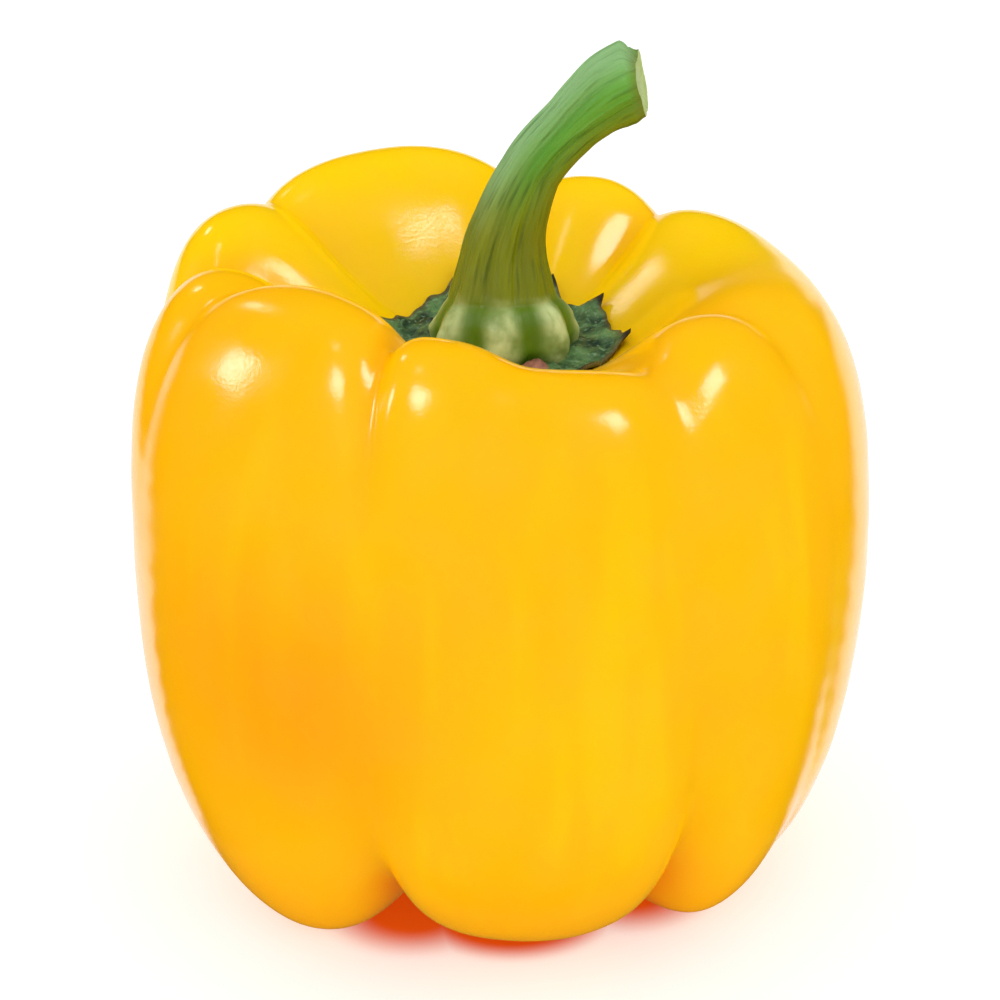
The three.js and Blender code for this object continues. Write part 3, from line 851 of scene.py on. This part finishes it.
def stem_material():
    """Green stalk: painted highlights on foot ribs and upper side, olive above, fresh green end, pale cut
    face.
    """
    look = Look("pepper_stem")
    along = look.number("along")
    side = look.number("round_x")
    body = look.along_body(("round_x", "round_y", "along"))
    fine = look.noise(FINE_LINE_SIZE, 4.0, FINE_LINE_STRETCH, body)
    broad = look.noise(BROAD_LINE_SIZE, 3.0, BROAD_LINE_STRETCH, body)
    middle = look.mix(broad, *STEM_MIDDLE_GREEN)
    top = look.mix(broad, *STEM_TOP_GREEN)
    rising = look.mix(look.span(along, TOP_GREEN_FROM, TOP_GREEN_TO), middle, top)
    # Painted highlight: the upper side is pale, as the soft light falls along it.
    above_foot = look.span(along, UPPER_HIGHLIGHT_FROM, UPPER_HIGHLIGHT_TO)
    upper_side = look.combine("MULTIPLY", look.span(side, -0.2, -1.0, 0.0, 0.55), above_foot)
    rising = look.mix(upper_side, rising, STEM_UPPER_PAINTED_HIGHLIGHT)
    # Olive underside, with painted yellow bounce light from the fruit below it.
    above_neck = look.span(along, UNDERSIDE_FROM, UNDERSIDE_TO)
    underside_and_bounce = look.combine("MULTIPLY", look.span(side, 0.0, 0.9, 0.0, 0.8), above_neck)
    rising = look.mix(underside_and_bounce, rising, STEM_UNDERSIDE_AND_BOUNCE)
    # Painted highlight: the foot's ribs turn pale at their crests, mottled.
    mottled = look.span(look.noise(FOOT_MOTTLE_SIZE), NOISE_LOW, 0.66, 0.25)
    rib_highlight = look.combine("MULTIPLY", look.span(look.number("rib"), 0.0, 1.2), mottled)
    foot = look.mix(rib_highlight, *STEM_FOOT_GREEN_AND_HIGHLIGHT)
    footed = look.mix(look.span(along, FOOT_COLOUR_END, FOOT_COLOUR_START), rising, foot)
    above_foot_lines = look.span(along, DARK_LINES_FROM, DARK_LINES_TO)
    dark = look.combine("MULTIPLY", look.span(fine, 0.5, 0.72, 0.0, 0.5), above_foot_lines)
    streaked = look.mix(dark, footed, STEM_DARK_LINES)
    lipped = look.mix(look.span(along, LIP_FROM, LIP_TO, 0.0, 0.6), streaked, STEM_LIP)
    cut = look.mix(look.noise(CUT_GRAIN_SIZE), *STEM_CUT)
    look.drive("Base Color", look.mix(look.span(along, CUT_FROM, CUT_TO), lipped, cut))
    sheen = look.noise(STEM_SHEEN_SIZE)
    look.drive("Roughness", look.span(sheen, NOISE_LOW, NOISE_HIGH, *STEM_ROUGHNESS))
    look.set(Specular_IOR_Level=STEM_GLOSS, Subsurface_Weight=STEM_TRANSLUCENCE)
    look.set(Subsurface_Scale=GREEN_LIGHT_DEPTH)
    look.bump(fine, FINE_LINE_DEPTH)
    return look.material


# Floor: nearly white, with painted orange glow and shadow spots under the pepper, each a middle, edge and
# core.
FLOOR_WHITE = (srgb(200, 199, 199), srgb(203, 202, 202))
FLOOR_PAINTED_GLOW = srgb(178, 68, 4)
FLOOR_CLOUD_SIZE = 60.0
FLOOR_ROUGHNESS = 0.6
FLOOR_OWN_LIGHT = 0.84
PAINTED_GLOW_SPOTS = (
    ((0.0, 2.0, 0.0), 24.0, 12.0),
    ((-10.5, -17.0, 0.0), 12.0, 5.0),
    ((15.0, -13.0, 0.0), 11.0, 4.0),
    ((1.0, -15.5, 0.0), 14.0, 9.5),
)


def floor_material():
    """White, lit a little from below, with a painted red glow, as of light through the flesh, and contact
    shadow.
    """
    look = Look("floor")
    white = look.mix(look.noise(FLOOR_CLOUD_SIZE), *FLOOR_WHITE)
    # Painted glow and contact shadow under the pepper; the emission carries it too, so it glows.
    glow = 0.0
    for middle, edge, core in PAINTED_GLOW_SPOTS:
        glow = look.combine("MAXIMUM", look.span(look.distance(middle), edge, core), glow)
    glowing = look.mix(glow, white, FLOOR_PAINTED_GLOW)
    look.drive("Base Color", glowing)
    look.drive("Emission Color", glowing)
    look.set(Roughness=FLOOR_ROUGHNESS, Emission_Strength=FLOOR_OWN_LIGHT)
    return look.material


fruit.data.materials.append(skin_material())
calyx.data.materials.append(calyx_material())
stem.data.materials.append(stem_material())

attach(fruit, "root")
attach(calyx, "root")
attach(stem, "root")
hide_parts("fruit")
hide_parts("calyx")
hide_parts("stem")

# Floor.
FLOOR_HALF = 3.0
corners = np.array([(-1, -1, 0), (1, -1, 0), (1, 1, 0), (-1, 1, 0)]) * FLOOR_HALF
floor = make_object("floor", corners, [(0, 1, 2, 3)])
floor.data.materials.append(floor_material())
floor.visible_glossy = False

# Light: even white from all round, and bright cards that only the gloss shows. The boxes stand one
# metre away from the place that they are aimed at: azimuth, angle up, width, height, radiance.
WORLD_STRENGTH = 1.25
WHITE = (1.0, 1.0, 1.0)
LIGHT_AIM = (0.0, 0.0, 0.06)
BOX_DISTANCE = 1.0
BOXES = {
    "far_left_box": (170, 17, 0.13, 0.18, 10.0),
    "left_box": (226, 46, 0.32, 0.28, 11.0),
    "right_box": (335, 49, 0.28, 0.28, 10.0),
    "behind_box": (133, 34, 0.13, 0.13, 5.0),
    "top_box": (178, 67, 0.13, 0.13, 4.0),
}

# A dim warm card just under the floor, for the glow that the skin mirrors between the feet.
UNDER_FEET_PLACE = np.array([0.0, -0.012, -0.01])
UNDER_FEET_SIZE = (0.1, 0.045)
UNDER_FEET_RADIANCE = 0.28
WARM = (1.0, 0.6, 0.1)

# The white surroundings behind, as the gloss near the outline mirrors them: bands of floor that widen
# with the distance, in millimetres, and a low wall, in metres.
FLOOR_STEPS = np.geomspace(5.0, 1200.0, 25)
FLOOR_HALF_WIDTH = 48.0
BANDS_HEIGHT = -10.0
WALL_PLACE = np.array([0.0, 1.2, 0.09])
WALL_AIM = np.array([0.0, 0.0, 0.09])
WALL_SIZE = (1.3, 0.18)
SURROUNDINGS_RADIANCE = 1.0


def white_world(strength):
    """Even white light from all round, which the gloss doesn't mirror."""
    world = bpy.data.worlds.new("studio")
    bpy.context.scene.world = world
    world.use_nodes = True
    background = world.node_tree.nodes["Background"]
    background.inputs["Color"].default_value = (*WHITE, 1.0)
    background.inputs["Strength"].default_value = strength
    world.cycles_visibility.glossy = False


def aim_at(thing, target):
    thing.rotation_mode = "QUATERNION"
    thing.rotation_quaternion = (Vector(target) - thing.location).to_track_quat("-Z", "Y")


def toward(azimuth, height, distance):
    """A place at an azimuth, an angle up and a distance, all seen from the lights' aim."""
    turn, rise = math.radians(azimuth), math.radians(height)
    level = distance * math.cos(rise)
    return level * math.cos(turn), level * math.sin(turn), distance * math.sin(rise) + LIGHT_AIM[2]


def card(name, place, target, size, radiance, color=WHITE):
    """A bright card, of a width and a height in metres, that shows in the gloss alone."""
    width, tall = size
    light = bpy.data.lights.new(name, "AREA")
    light.color = color
    light.shape = "RECTANGLE"
    light.size = width
    light.size_y = tall
    light.energy = radiance * math.pi * width * tall
    lamp = bpy.data.objects.new(name, light)
    lamp.location = place
    lamp.visible_diffuse = False
    lamp.visible_camera = False
    bpy.context.scene.collection.objects.link(lamp)
    aim_at(lamp, target)


white_world(WORLD_STRENGTH)
for name, (azimuth, height, width, tall, radiance) in BOXES.items():
    card(name, toward(azimuth, height, BOX_DISTANCE), LIGHT_AIM, (width, tall), radiance)
card("under_feet", UNDER_FEET_PLACE, UNDER_FEET_PLACE + UP, UNDER_FEET_SIZE, UNDER_FEET_RADIANCE, WARM)
for step, (near, far) in enumerate(zip(FLOOR_STEPS, FLOOR_STEPS[1:])):
    middle = (near + far) / 2.0
    place = np.array([0.0, middle, BANDS_HEIGHT]) * MM
    size = (2 * (FLOOR_HALF_WIDTH + middle) * MM, (far - near) * MM)
    card(f"floor_{step}", place, place + UP, size, SURROUNDINGS_RADIANCE)
card("wall", WALL_PLACE, WALL_AIM, WALL_SIZE, SURROUNDINGS_RADIANCE)

# Camera: in front, a little above, and as far away as the width of the view asks for.
ELEVATION = math.radians(24.0)
LENS = 100.0
SENSOR = 36.0
VIEW_WIDTH = 0.1167
AIM_HEIGHT = 0.0444
AIM = Vector((SHIFT[0] * MM, SHIFT[1] * MM, AIM_HEIGHT))

camera_data = bpy.data.cameras.new("camera")
camera_data.lens = LENS
camera_data.sensor_width = SENSOR
camera = bpy.data.objects.new("camera", camera_data)
back = Vector((0.0, -math.cos(ELEVATION), math.sin(ELEVATION)))
camera.location = AIM + back * (VIEW_WIDTH * LENS / SENSOR)
bpy.context.scene.collection.objects.link(camera)
aim_at(camera, AIM)
bpy.context.scene.camera = camera
bpy.context.scene.view_settings.view_transform = "Standard"
